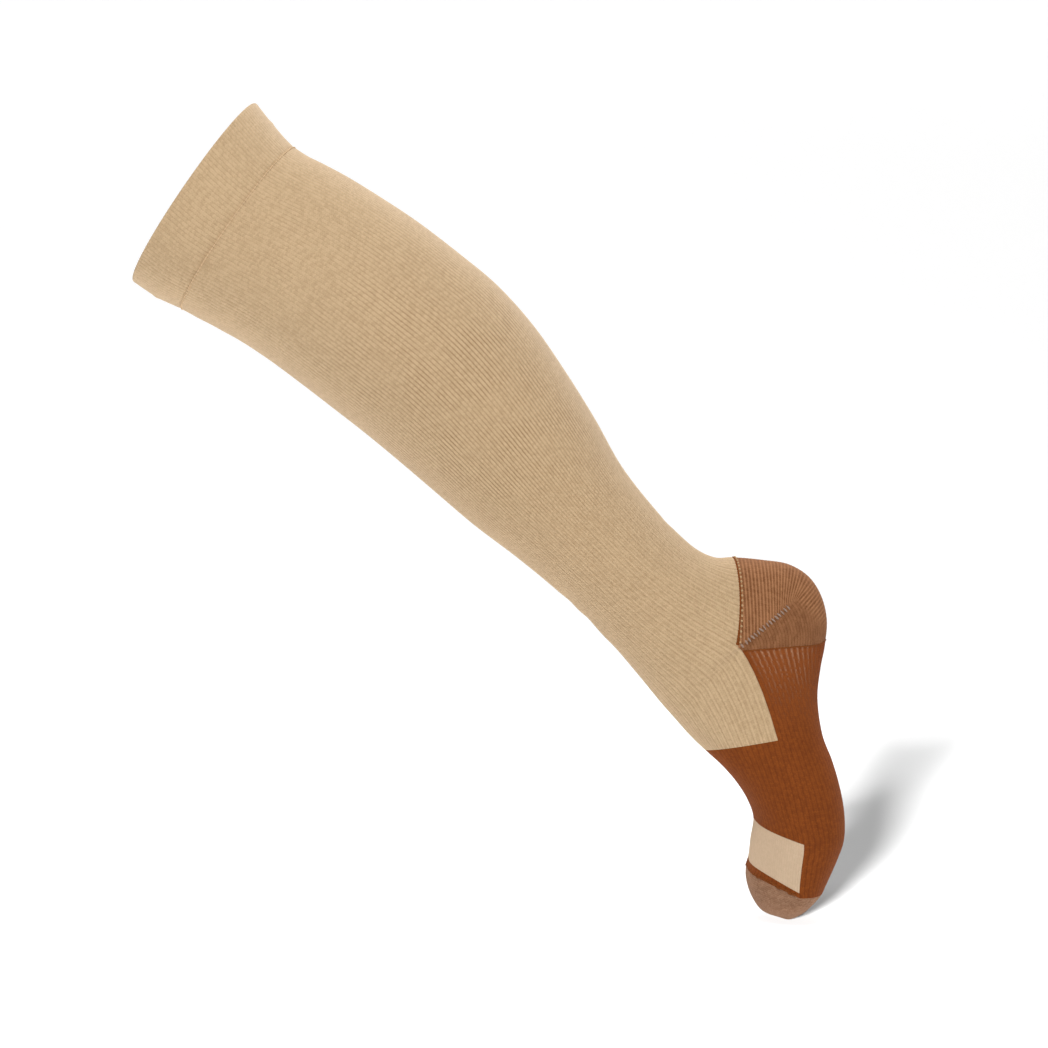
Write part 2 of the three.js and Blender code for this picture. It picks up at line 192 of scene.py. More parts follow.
def knitted_zone(spans, columns, pitch):
    """Grid of plain cloth over spans of (first line, last line, halves), about pitch mm a row.
    Gives the points, their outward normals, the rows, the kept cells and the length along."""
    around, on_front = ring(np.arange(columns) / columns)
    halves = {"both": on_front | True, "front": on_front, "back": ~on_front}
    rows, kept = [line_rows(spans[0][0], around, on_front)[None]], []
    for first, last, half in spans:
        start, end = (line_rows(name, around, on_front) for name in (first, last))
        span = cloth(end, around, on_front) - cloth(start, around, on_front)
        steps = max(1, round(np.linalg.norm(span, axis=-1)[halves[half]].mean() / pitch))
        rows.append(start + (end - start) * (np.arange(1, steps + 1) / steps)[:, None])
        kept.append(np.tile(halves[half], (steps, 1)))
    rows, kept = np.vstack(rows), np.vstack(kept)
    points = cloth(rows, around, on_front)
    forth = np.gradient(points, axis=0)
    over = np.roll(points, -1, axis=1) - np.roll(points, 1, axis=1)
    normals = np.cross(over, forth)
    normals /= np.maximum(np.linalg.norm(normals, axis=-1, keepdims=True), 1e-9)
    stride = np.linalg.norm(np.diff(points, axis=0), axis=-1)
    stride = (stride * kept).sum(axis=1) / kept.sum(axis=1)
    length = np.concatenate([[0], np.cumsum(stride)])
    return points, normals, rows, kept, length


def ribs(columns, count, height):
    """Lift of the ribs round the tube: a cosine wave from 0 in the furrows to their height."""
    return height * (0.5 - 0.5 * np.cos(2 * math.pi * count * np.arange(columns) / columns))


def wall_mesh(name, outer, inner, kept, wales, courses, closed_tip=False):
    """Closed wall between an outer and a coarser inner grid, both once round the tube, where
    cells are kept, with its edges filled. The UV map counts wales round and courses along."""
    rows, columns = outer.shape[:2]
    each = columns // inner.shape[1]
    outside = np.arange(rows * columns).reshape(rows, columns)
    inside = outside.size + np.arange(rows * inner.shape[1]).reshape(rows, -1)
    courses = np.broadcast_to(courses.reshape(rows, -1), (rows, columns))
    faces, uvs = [], []

    def add(index, row, column, turned):
        """Faces from the grid places of their corners."""
        order = slice(None, None, -1 if turned else 1)
        uv = np.stack([column * wales / columns, courses[row, column % columns]], axis=-1)
        faces.extend(index[:, order].tolist())
        uvs.append(uv[:, order].reshape(-1, 2))

    def outer_at(row, column):
        return outside[row, column % columns]

    def inner_at(row, column):
        return inside[row, column // each % inner.shape[1]]

    wide = kept[:, ::each]
    for mask, size, at, turned in ((kept, 1, outer_at, False), (wide, each, inner_at, True)):
        row, cell = np.nonzero(mask)
        row = np.stack([row, row, row + 1, row + 1], axis=-1)
        column = np.stack([cell, cell + 1, cell + 1, cell], axis=-1) * size
        add(at(row, column), row, column, turned)
    nothing = np.zeros((1, wide.shape[1]), bool)
    below, above = np.vstack([wide, nothing]), np.vstack([nothing, wide])
    if closed_tip:
        above[-1] = False
    for edge, turned in ((below & ~above, True), (above & ~below, False)):
        row, cell = (place[:, None] for place in np.nonzero(edge))
        out_columns = cell * each + np.arange(each + 1)
        in_columns = np.hstack([cell + 1, cell]) * each
        index = np.hstack([outer_at(row, out_columns), inner_at(row, in_columns)])
        column = np.hstack([out_columns, in_columns])
        add(index, np.broadcast_to(row, column.shape), column, turned)
    before = np.roll(wide, 1, axis=1)
    for edge, turned in ((wide & ~before, False), (~wide & before, True)):
        row, cell = np.nonzero(edge)
        row = np.stack([row, row + 1, row + 1, row], axis=-1)
        column = np.stack([cell] * 4, axis=-1) * each
        index = np.hstack([outer_at(row, column)[:, :2], inner_at(row, column)[:, 2:]])
        add(index, row, column, turned)
    points = np.vstack([outer.reshape(-1, 3), inner.reshape(-1, 3)])
    return mesh_object(name, points, faces, np.vstack(uvs))


def mesh_object(name, points, faces, corner_uvs):
    """Object of a mesh in metres from points in mm, with only the points that its faces use."""
    counts = np.array([len(face) for face in faces])
    used, packed = np.unique(np.concatenate(faces), return_inverse=True)
    mesh = bpy.data.meshes.new(name)
    mesh.from_pydata((points[used] * MM).tolist(), [],
                     [part.tolist() for part in np.split(packed, np.cumsum(counts)[:-1])])
    mesh.uv_layers.new(name="Knit").data.foreach_set("uv", corner_uvs.ravel())
    mesh.shade_smooth()
    mesh.set_sharp_from_angle(angle=math.radians(72))
    piece = bpy.data.objects.new(name, mesh)
    bpy.context.collection.objects.link(piece)
    return piece


def add_node(tree, kind, settings=(), **inputs):
    """Node of a kind, with its settings and its input sockets set to a value or linked."""
    made = tree.nodes.new(kind)
    for key, value in dict(settings).items():
        setattr(made, key, value)
    for key, value in inputs.items():
        socket = made.inputs[int(key[1:])] if key[1:].isdigit() else made.inputs[key.replace("_", " ")]
        if isinstance(value, bpy.types.NodeSocket):
            tree.links.new(value, socket)
        else:
            socket.default_value = value
    return made


def maths(tree, operation, *values):
    """Result of a math node on values or sockets."""
    inputs = {f"i{place}": value for place, value in enumerate(values)}
    return add_node(tree, "ShaderNodeMath", {"operation": operation}, **inputs).outputs[0]


def new_group(name, inputs, outputs):
    """Empty shader node group with named number inputs and outputs."""
    group = bpy.data.node_groups.new(name, "ShaderNodeTree")
    for label, value in inputs.items():
        socket = group.interface.new_socket(label, in_out="INPUT", socket_type="NodeSocketFloat")
        socket.default_value = value
    for label in outputs:
        group.interface.new_socket(label, in_out="OUTPUT", socket_type="NodeSocketFloat")
    return group, group.nodes.new("NodeGroupInput").outputs, group.nodes.new("NodeGroupOutput").inputs


# One loop of yarn on each wale and course: a row of arrowheads up each rib, dark in the furrows,
# and a chance value from 0 to 1 for each loop
knit_group, given, out = new_group("Knitted loops", {"Wale": 0, "Course": 0, "Slant": 1.1},
                                   ("Height", "Furrow", "Loop", "Each"))
off_crest = maths(knit_group, "ABSOLUTE", maths(
    knit_group, "SUBTRACT", maths(knit_group, "FRACT", given["Wale"]), 0.5))
slanted = maths(knit_group, "MULTIPLY", off_crest, given["Slant"])
loops_up = maths(knit_group, "SUBTRACT", given["Course"], slanted)
turns = maths(knit_group, "MULTIPLY", loops_up, 2 * math.pi)
loop = maths(knit_group, "MULTIPLY_ADD", maths(knit_group, "COSINE", turns), 0.5, 0.5)
furrow = add_node(knit_group, "ShaderNodeMapRange", {"interpolation_type": "SMOOTHSTEP"},
                  Value=off_crest, From_Min=0.26, From_Max=0.5).outputs[0]
raised = maths(knit_group, "MULTIPLY", maths(knit_group, "SUBTRACT", 1.0, furrow),
               maths(knit_group, "MULTIPLY_ADD", loop, 0.5, 0.5))
knit_group.links.new(raised, out["Height"])
knit_group.links.new(furrow, out["Furrow"])
knit_group.links.new(loop, out["Loop"])
numbers = add_node(knit_group, "ShaderNodeCombineXYZ", X=maths(knit_group, "FLOOR", given["Wale"]),
                   Y=maths(knit_group, "ROUND", loops_up)).outputs[0]
each = add_node(knit_group, "ShaderNodeTexWhiteNoise", {"noise_dimensions": "2D"},
                Vector=numbers).outputs["Value"]
knit_group.links.new(each, out["Each"])

# Unevenness of the yarn: fibres, thick and thin places, and broad soft patches
yarn_group, given, out = new_group("Uneven yarn", {"Fibre": 1.0, "Patch": 1.0},
                                   ("Shade", "Fibres", "Patches"))
place = yarn_group.nodes.new("ShaderNodeTexCoord").outputs["Object"]
fibres = add_node(yarn_group, "ShaderNodeTexNoise", Vector=place, Scale=1500.0, Detail=3.0,
                  Roughness=0.65).outputs["Fac"]
patches = add_node(yarn_group, "ShaderNodeTexNoise", Vector=place, Scale=55.0, Detail=3.0,
                   Roughness=0.5).outputs["Fac"]
fibre_part = maths(yarn_group, "MULTIPLY", maths(yarn_group, "SUBTRACT", fibres, 0.5), given["Fibre"])
patch_part = maths(yarn_group, "MULTIPLY", maths(yarn_group, "SUBTRACT", patches, 0.5), given["Patch"])
yarn_group.links.new(maths(yarn_group, "ADD", fibre_part, patch_part), out["Shade"])
yarn_group.links.new(fibres, out["Fibres"])
yarn_group.links.new(patches, out["Patches"])


def use_group(tree, group, **inputs):
    """Places a shared group in a material, with its own values."""
    return add_node(tree, "ShaderNodeGroup", {"node_tree": group}, **inputs).outputs


def mixed(tree, share, first, second):
    """Colour between two, each a socket or three numbers, by a share from 0 to 1."""
    ramp = add_node(tree, "ShaderNodeMix", {"data_type": "RGBA", "clamp_factor": True}, i0=share)
    for place, colour in ((6, first), (7, second)):
        if isinstance(colour, bpy.types.NodeSocket):
            tree.links.new(colour, ramp.inputs[place])
        else:
            ramp.inputs[place].default_value = (*colour, 1)
    return ramp.outputs[2]


def knit_material(name, yarn, deep, shade_of, fibre=0.5, each=0.2, bump=0.3, sheen=0.2,
                  sheen_tint=None, plating=None, plating_of=None):
    """Matt knit. Its colour runs from deep to yarn by a shade from 0 to 1 that shade_of works
    out of the loops, and then to the plating yarn where plating_of gives more than 0. Its height
    is the loops' and the fibres'."""
    material = bpy.data.materials.new(name)
    material.use_nodes = True
    tree = material.node_tree
    shader = tree.nodes["Principled BSDF"]
    uv = add_node(tree, "ShaderNodeUVMap", {"uv_map": "Knit"}).outputs["UV"]
    split = add_node(tree, "ShaderNodeSeparateXYZ", Vector=uv).outputs
    loops = use_group(tree, knit_group, Wale=split["X"], Course=split["Y"])
    uneven = use_group(tree, yarn_group, Fibre=fibre, Patch=0.3)
    shade = maths(tree, "ADD", shade_of(tree, split, loops, uneven), uneven["Shade"])
    chance = maths(tree, "SUBTRACT", loops["Each"], 0.5)
    colour = mixed(tree, maths(tree, "MULTIPLY_ADD", chance, each, shade), deep, yarn)
    if plating_of:
        colour = mixed(tree, plating_of(tree, split, loops, uneven), colour, plating)
    tree.links.new(colour, shader.inputs["Base Color"])
    height = maths(tree, "MULTIPLY_ADD", uneven["Fibres"], 0.35, loops["Height"])
    normal = add_node(tree, "ShaderNodeBump", Height=height, Distance=0.0004, Strength=bump)
    tree.links.new(normal.outputs[0], shader.inputs["Normal"])
    rough = maths(tree, "MULTIPLY_ADD", loops["Furrow"], 0.08, 0.84)
    tree.links.new(rough, shader.inputs["Roughness"])
    shader.inputs["Sheen Weight"].default_value = sheen
    shader.inputs["Sheen Roughness"].default_value = 0.6
    shader.inputs["Sheen Tint"].default_value = (*(sheen_tint or yarn), 1)
    shader.inputs["Specular IOR Level"].default_value = 0.12
    return material


def finished(piece, material, replaced=()):
    """Gives a piece its material and its place in the frame."""
    piece.data.materials.append(material)
    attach(piece, "root")
    if replaced:
        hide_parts(*replaced)
    return piece


BEIGE, BEIGE_DEEP = (0.60, 0.425, 0.248), (0.31, 0.180, 0.080)
BEIGE_NAP = (0.95, 0.88, 0.78)
WALES = 144
COURSE_PITCH = 1.25
UPPER_CALF_COURSE, LOWER_CALF_COURSE, ANKLE_COURSE = 45, 125, 235
ANKLE_RIBS = 88
RIB_HEIGHT = 0.22
LEG_WALL = 1.2


def lines_round(tree, split, count):
    """Wave from -1 to 1 that repeats a number of times round the tube."""
    return maths(tree, "COSINE", maths(tree, "MULTIPLY", split["X"], 2 * math.pi * count / WALES))


def ribbed_shade(tree, split, loops, uneven):
    """Bright ribs, darker gaps between the loops, and furrows that are darker in some places and
    down the calf; the darker gaps and furrows are partly the darker elastic inlay and partly
    painted shade. Towards the ankle they close up, and fewer, broader ribs show instead as
    bands of painted shade."""
    # How much darker the furrows are painted: partly the elastic inlay, partly painted shade
    depth = add_node(tree, "ShaderNodeMapRange", Value=uneven["Patches"], From_Min=0.35,
                     From_Max=0.65, To_Min=-0.16, To_Max=-0.42).outputs[0]
    down_calf = add_node(tree, "ShaderNodeMapRange", Value=split["Y"], From_Min=UPPER_CALF_COURSE,
                         From_Max=LOWER_CALF_COURSE, To_Min=0.7, To_Max=2.4).outputs[0]
    closed = add_node(tree, "ShaderNodeMapRange", Value=split["Y"], From_Min=ANKLE_COURSE - 60,
                      From_Max=ANKLE_COURSE).outputs[0]
    still_open = maths(tree, "MULTIPLY_ADD", closed, -0.7, 1.0)
    depth = maths(tree, "MULTIPLY", depth, maths(tree, "MULTIPLY", down_calf, still_open))
    # Painted shade: light and dark bands round the ankle in place of broader ribs
    broad = maths(tree, "MULTIPLY_ADD", lines_round(tree, split, ANKLE_RIBS), -0.14, -0.05)
    painted_rib_bands = maths(tree, "MULTIPLY_ADD", broad, closed, 0.92)
    open_part = maths(tree, "MULTIPLY_ADD", loops["Furrow"], depth, painted_rib_bands)
    return maths(tree, "MULTIPLY_ADD", maths(tree, "SUBTRACT", loops["Loop"], 1.0), 0.12, open_part)


beige_knit = knit_material("Beige rib knit", BEIGE, BEIGE_DEEP, ribbed_shade, fibre=0.9, each=0.28,
                           sheen=0.4, sheen_tint=BEIGE_NAP)

# Soft creases of the leg: wale and mm below the welt seam of the middle, slope in degrees from
# round the leg, half length and half width in mm, and height in mm, which is under 0 in a trough
CREASES = (
    {"wale": 20, "below": 12, "slope": 8, "length": 26, "width": 5.0, "height": -0.5},
    {"wale": 47, "below": 17, "slope": -6, "length": 34, "width": 6.0, "height": -0.4},
    {"wale": 100, "below": 10, "slope": 5, "length": 30, "width": 5.5, "height": -0.6},
    {"wale": 128, "below": 21, "slope": -9, "length": 24, "width": 6.0, "height": -0.4},
    {"wale": 34, "below": 296, "slope": 4, "length": 20, "width": 4.5, "height": -0.5},
    {"wale": 40, "below": 309, "slope": -5, "length": 24, "width": 4.0, "height": -0.6},
    {"wale": 31, "below": 322, "slope": 3, "length": 18, "width": 5.0, "height": 0.4},
    {"wale": 104, "below": 300, "slope": 10, "length": 17, "width": 5.0, "height": -0.4},
)


def creased(wale, below, creases):
    """Sum of soft troughs and ridges: each is height * exp(-(u/length)^2 - (v/width)^2) in mm
    along and across its own line."""
    lift = 0 * (wale + below)
    for crease in creases:
        turn = math.radians(crease["slope"])
        over = ((wale - crease["wale"] + WALES / 2) % WALES - WALES / 2) * 2.1
        down = below - crease["below"]
        along = over * math.cos(turn) + down * math.sin(turn)
        across = down * math.cos(turn) - over * math.sin(turn)
        lift = lift + crease["height"] * np.exp(
            -(along / crease["length"]) ** 2 - (across / crease["width"]) ** 2)
    return lift


leg_columns = 4 * WALES
points, normals, rows, kept, length = knitted_zone(
    [("welt seam", "heel line", "both"), ("heel line", "panel edge", "front")], leg_columns, 3.0)
wale = np.arange(leg_columns) / 4
lift = ribs(leg_columns, WALES, RIB_HEIGHT) + creased(wale, length[:, None], CREASES)
lift = lift - 0.25 * np.exp(-(length[:, None] / 1.2) ** 2)
outer = points + normals * lift[..., None]
inner = (points - normals * LEG_WALL)[:, ::8]
leg_cloth = wall_mesh("leg_cloth", outer, inner, kept, WALES, length / COURSE_PITCH)
finished(leg_cloth, beige_knit, ["leg"])

# Welt: the top of the tube turned inwards over itself and sewn down, so that it is a double band
# with a round fold at the rim. The same beige ribs run over it, and a soft line shows where the
# turned layer ends inside.
WELT_WALL = 2.0
FOLD = WELT_WALL / 2
SEAM_SINK = 0.45


def welt_grid(columns):
    """Ring sections up the inside, round the fold and down the outside. A point's place is its
    distance under the rim and its depth from the plain outside: on the fold they are
    FOLD - FOLD sin(turn) and -FOLD - FOLD cos(turn), with turn from 0 inside to pi outside."""
    around, on_front = ring(np.arange(columns) / columns)
    first, last = (np.full(columns, float(ROW_OF[name])) for name in ("rim", "welt seam"))
    band = np.linalg.norm(cloth(last, around, on_front) - cloth(first, around, on_front), axis=-1)
    share = np.concatenate([np.linspace(1, 0, 13)[:-1], np.zeros(9), np.linspace(0, 1, 25)[1:]])
    turn = np.concatenate([np.zeros(12), np.linspace(0, math.pi, 9), np.full(24, math.pi)])[:, None]
    below = FOLD + share[:, None] * (band - FOLD)
    outside = (turn == math.pi)
    over = 0.65 - 0.35 * np.cos(turn)
    rib = ribs(columns, WALES, RIB_HEIGHT) * over
    lines = -SEAM_SINK * np.exp(-((band - below) / 1.1) ** 2) * outside
    turned_edge = 0.45 * np.exp(-((below - 0.47 * band) / 1.6) ** 2)
    lines = lines + turned_edge * outside * (0.55 + 0.45 * np.sin(2 * math.pi * around + 1.0))
    radius = FOLD + rib + lines
    under = below - np.where(share[:, None] == 0, radius * np.sin(turn), 0)
    depth = -FOLD - radius * np.cos(turn)
    rows = last * 0 + under / band * (ROW_OF["welt seam"] - ROW_OF["rim"])
    points = cloth(rows.clip(0), around, on_front)
    forth = cloth(rows.clip(0) + 0.05, around, on_front) - points
    spread = np.roll(points, -1, axis=1) - np.roll(points, 1, axis=1)
    normals = np.cross(spread, forth)
    normals /= np.linalg.norm(normals, axis=-1, keepdims=True)
    forth /= np.linalg.norm(forth, axis=-1, keepdims=True)
    beyond = (rows.clip(0) - rows) * band[None] / 2
    return points + normals * depth[..., None] - forth * beyond[..., None], below


def tube_mesh(name, points, wales, courses):
    """Closed skin over ring sections whose last ring joins the first."""
    rows, columns = points.shape[:2]
    index = np.arange(rows * columns).reshape(rows, columns)
    right, down = np.roll(index, -1, axis=1), np.roll(index, -1, axis=0)
    quads = np.stack([index, right, np.roll(down, -1, axis=1), down], axis=-1).reshape(-1, 4)
    across = np.arange(columns) * wales / columns
    step = wales / columns
    along = np.stack([courses, np.append(courses[1:], courses[-1])])
    u = np.stack([across, across + step, across + step, across], axis=-1)[None]
    v = np.stack([along[0], along[0], along[1], along[1]], axis=-1)[:, None]
    uv = np.stack(np.broadcast_arrays(u, v), axis=-1).reshape(-1, 2)
    return mesh_object(name, points.reshape(-1, 3), quads.tolist(), uv)


welt_points, welt_below = welt_grid(leg_columns)
travel = np.linalg.norm(np.diff(welt_points, axis=0), axis=-1).mean(axis=1)
welt_courses = np.concatenate([[0], np.cumsum(travel)]) / COURSE_PITCH
welt_cloth = tube_mesh("welt_cloth", welt_points, WALES, welt_courses)
finished(welt_cloth, beige_knit, ["welt"])

# Heel pocket: the half-round heel, knitted to and fro from brown yarn plated over beige, so that
# each course of its upper part shows as a stripe, and the stripes turn round the corner of the
# heel. A gore line at each side joins that part to the plainer one below.
HEEL_BROWN, HEEL_LIGHT = (0.155, 0.056, 0.020), (0.48, 0.228, 0.106)
HEEL_WALL = 1.5
HEEL_RELIEF = 0.16

# Ends of a gore line, and the end of the clear stripes on the outline, x and z in mm
GORE_START = np.array([315.0, -262.4])
GORE_END = np.array([347.8, -236.0])
STRIPES_END = np.array([366.5, -251.0])
gore_length = np.linalg.norm(GORE_END - GORE_START)

# Courses on the gore line: evenly spaced up to where they begin to lean, then closer by the square
# of the distance, which keeps their pitch on the heel's outline
EVEN_COURSES, CLOSER_COURSES = 17, 5
LEAN_START = 0.45
LAST_LEAN = 10.7
HEEL_LINE_LEAN = 2.4
CORNER_PITCH = 1.95
LAST_COURSE_ROW = 20.2
outline_rows = np.linspace(ROW_OF["heel line"], LAST_COURSE_ROW, 33)
outline_x = smooth_line(back_points, outline_rows)[:, 0]


def gore_share(points):
    """Share along the gore line where the course through each point starts, found by halving.
    Seen from the side a course rises upright and leans over by climb^(2 - share^2), the more the
    nearer it is to the corner, where the last one is straight."""
    x, z = points[..., 0], points[..., 2]
    low, high = np.zeros(x.shape), np.ones(x.shape)
    for _ in range(24):
        share = (low + high) / 2
        start_x = GORE_START[0] + (GORE_END - GORE_START)[0] * share
        start_z = GORE_START[1] + (GORE_END - GORE_START)[1] * share
        lean = LAST_LEAN * ((share - LEAN_START) / (1 - LEAN_START)).clip(0) ** 2
        end_x = start_x + lean - HEEL_LINE_LEAN * (1 - share) ** 2
        end_z = smooth_line(back_points, np.interp(end_x, outline_x, outline_rows))[..., 2]
        climb = ((z - start_z) / (end_z - start_z)).clip(0, 1)
        passed = x > start_x + (end_x - start_x) * climb ** (2 - share ** 2)
        low, high = np.where(passed, share, low), np.where(passed, high, share)
    return (low + high) / 2


def off_line(points, start, end):
    """Distances of points, seen from the side, to the left of a line and along it."""
    run = (end - start) / np.linalg.norm(end - start)
    aside = points[..., ::2] - start
    return run[0] * aside[..., 1] - run[1] * aside[..., 0], (aside * run).sum(-1)


def heel_courses(points):
    """Course of each point, its distance from the gore line in mm, and how clear the stripes are.
    Round the corner and below, the courses are straight and evenly spaced. On the outline they
    are half as clear."""
    over_gore, along_gore = off_line(points, GORE_START, GORE_END)
    last_end = smooth_line(back_points, np.array(LAST_COURSE_ROW))[::2]
    over_last, _ = off_line(points, GORE_END, last_end)
    over_end, _ = off_line(points, GORE_END, STRIPES_END)
    upper = np.where(along_gore < gore_length, over_gore > 0, over_last > 0)
    share = gore_share(points)
    closer = ((share - LEAN_START) / (1 - LEAN_START)).clip(0) ** 2
    turned = EVEN_COURSES + CLOSER_COURSES - over_last / CORNER_PITCH
    course = np.where(upper, EVEN_COURSES * share + CLOSER_COURSES * closer, turned)
    past = np.maximum(along_gore - gore_length, 0) + np.maximum(-along_gore, 0)
    near_corner = ((along_gore / gore_length - 0.85) / 0.15).clip(0, 1)
    clear = ((over_end + 3) / 5).clip(0, 1) * near_corner
    off_outline = ((np.abs(points[..., 1]) - 6) / 12).clip(0, 1)
    clear = np.where(upper, 1.0, clear) * (0.5 + 0.5 * off_outline)
    return course, np.hypot(over_gore, past), clear


heel_columns = 2 * WALES
points, normals, rows, kept, length = knitted_zone([("heel line", "sole line", "back")],
                                                   heel_columns, 0.42)
course, from_gore, stripes = heel_courses(points)
relief = (0.25 + 0.75 * stripes) * (0.5 + 0.5 * np.cos(2 * math.pi * course))
lift = HEEL_RELIEF * relief - 0.35 * np.exp(-(from_gore / 0.9) ** 2)
outer = points + normals * lift[..., None]
inner = (points - normals * HEEL_WALL)[:, ::4]
heel_cloth = wall_mesh("heel_cloth", outer, inner, kept, WALES, course)
corners = np.empty(3 * len(heel_cloth.data.vertices))
heel_cloth.data.vertices.foreach_get("co", corners)
stripes = heel_courses(corners.reshape(-1, 3) / MM)[2]
heel_cloth.data.attributes.new("Stripes", "FLOAT", "POINT").data.foreach_set("value", stripes)


def plated_shade(tree, split, loops, uneven):
    """Courses by turns light and brown, as the beige yarn shows between the brown loops, where
    the stripes are clear. Elsewhere the wales show, and the knit is darker."""
    clear = add_node(tree, "ShaderNodeAttribute", {"attribute_name": "Stripes"}).outputs["Fac"]
    stripe = maths(tree, "COSINE", maths(tree, "MULTIPLY", split["Y"], 2 * math.pi))
    light = maths(tree, "POWER", maths(tree, "MULTIPLY_ADD", stripe, 0.5, 0.5), 1.7)
    striped = maths(tree, "MULTIPLY_ADD", light, 0.54, 0.20)
    plain = maths(tree, "MULTIPLY_ADD", loops["Furrow"], -0.18, 0.29)
    difference = maths(tree, "SUBTRACT", striped, plain)
    return maths(tree, "MULTIPLY_ADD", difference, clear, plain)


heel_knit = knit_material("Plated heel knit", HEEL_LIGHT, HEEL_BROWN, plated_shade, fibre=0.7)
finished(heel_cloth, heel_knit, ["heel_pocket"])

# Foot: the copper-brown sole and the band all round the arch and ball, in fine lengthwise lines of
# every other wale, with the narrow line in front of the toe panel. It is knitted on from the heel
# and the instep panel.
COPPER, COPPER_DEEP = (0.26, 0.065, 0.0105), (0.135, 0.030, 0.0055)
PLATING = (0.40, 0.195, 0.105)
FOOT_LINES = WALES // 2
FOOT_WALL = 1.2
SOLE_MIDDLE = 0.75 * WALES
STREAK_COURSES = 44


def copper_shade(tree, split, loops, uneven):
    """Fine darker lines between the wales, broken by the loops."""
    lines = maths(tree, "MULTIPLY_ADD", lines_round(tree, split, FOOT_LINES), -0.13, 0.40)
    return maths(tree, "MULTIPLY_ADD", loops["Height"], 0.32, lines)


def sole_streaks(tree, split, loops, uneven):
    """Light plating yarn between the wales on both sides of the sole, in streaks that start at
    the sole line and are broken up and fade over STREAK_COURSES."""
    fade = add_node(tree, "ShaderNodeMapRange", Value=split["Y"], From_Min=0.0,
                    From_Max=STREAK_COURSES, To_Min=1.0, To_Max=0.0).outputs[0]
    off_middle = maths(tree, "ABSOLUTE", maths(tree, "SUBTRACT", split["X"], SOLE_MIDDLE))
    inner = add_node(tree, "ShaderNodeMapRange", Value=off_middle, From_Min=8.0, From_Max=18.0)
    outer = add_node(tree, "ShaderNodeMapRange", Value=off_middle, From_Min=35.0, From_Max=33.0)
    zone = maths(tree, "MULTIPLY", inner.outputs[0], outer.outputs[0])
    zone = maths(tree, "MULTIPLY", zone, fade)
    left = maths(tree, "MULTIPLY_ADD", fade, 1.7, maths(tree, "MULTIPLY", loops["Each"], -1.3))
    line = add_node(tree, "ShaderNodeMapRange", {"interpolation_type": "SMOOTHSTEP"},
                    Value=lines_round(tree, split, FOOT_LINES), From_Min=-0.2, From_Max=1.0).outputs[0]
    line = maths(tree, "MULTIPLY", line, maths(tree, "MAXIMUM", left, 0.0))
    return maths(tree, "MULTIPLY", zone, maths(tree, "MULTIPLY_ADD", line, 0.65, 0.06))


foot_columns = 4 * FOOT_LINES
points, normals, rows, kept, length = knitted_zone(
    [("sole line", "panel edge", "back"), ("panel edge", "patch top", "both"),
     ("patch top", "patch end", "back"), ("patch end", "cap line", "both")], foot_columns, 1.8)
lift = ribs(foot_columns, FOOT_LINES, 0.13) + 0 * length[:, None]
turn = np.arange(foot_columns) / foot_columns
toe_front = np.sin(math.pi * (2 * turn).clip(0, 1)) ** 0.35 * (turn < 0.5)
lift = lift + 0.2 * toe_front * np.exp(-((length[-1] - length[:, None]) / 2.2) ** 2)
outer = points + normals * lift[..., None]
inner = (points - normals * FOOT_WALL)[:, ::4]
foot_cloth = wall_mesh("foot_cloth", outer, inner, kept, WALES, length / COURSE_PITCH)
copper_knit = knit_material("Copper knit", COPPER, COPPER_DEEP, copper_shade, fibre=1.0, each=0.4,
                            plating=PLATING, plating_of=sole_streaks)
finished(foot_cloth, copper_knit, ["foot"])

# Toe panel: the beige window over the toes, knitted in between the copper band and the toe.
PANEL, PANEL_DEEP = (0.64, 0.475, 0.325), (0.40, 0.27, 0.165)
TOE_PANEL_WALL = 1.2
panel_columns = 4 * WALES
points, normals, rows, kept, length = knitted_zone([("patch top", "patch end", "front")],
                                                   panel_columns, 1.5)
outer = points + normals * ribs(panel_columns, WALES, 0.12)[:, None]
inner = (points - normals * TOE_PANEL_WALL)[:, ::8]
toe_panel_cloth = wall_mesh("toe_panel_cloth", outer, inner, kept, WALES, length / COURSE_PITCH)


def faint_shade(tree, split, loops, uneven):
    """Nearly even cloth, a little darker in the furrows."""
    return maths(tree, "MULTIPLY_ADD", loops["Furrow"], -0.12, 0.86)


panel_knit = knit_material("Beige panel knit", PANEL, PANEL_DEEP, faint_shade, each=0.16, bump=0.2)
finished(toe_panel_cloth, panel_knit, ["toe_panel"])

# Toe cap: the closed end, knitted in courses from the same plated yarns as the heel, so it looks
# heathered, and gathered to the tip.
TOE_BROWN, TOE_LIGHT = (0.145, 0.061, 0.029), (0.49, 0.285, 0.175)
TOE_WALL = 1.5
TOE_COURSE = 1.5


def heather_shade(tree, split, loops, uneven):
    """Mixed brown and beige fibres, with faint light courses."""
    stripe = maths(tree, "COSINE", maths(tree, "MULTIPLY", split["Y"], 2 * math.pi))
    return maths(tree, "MULTIPLY_ADD", stripe, 0.07, 0.42)


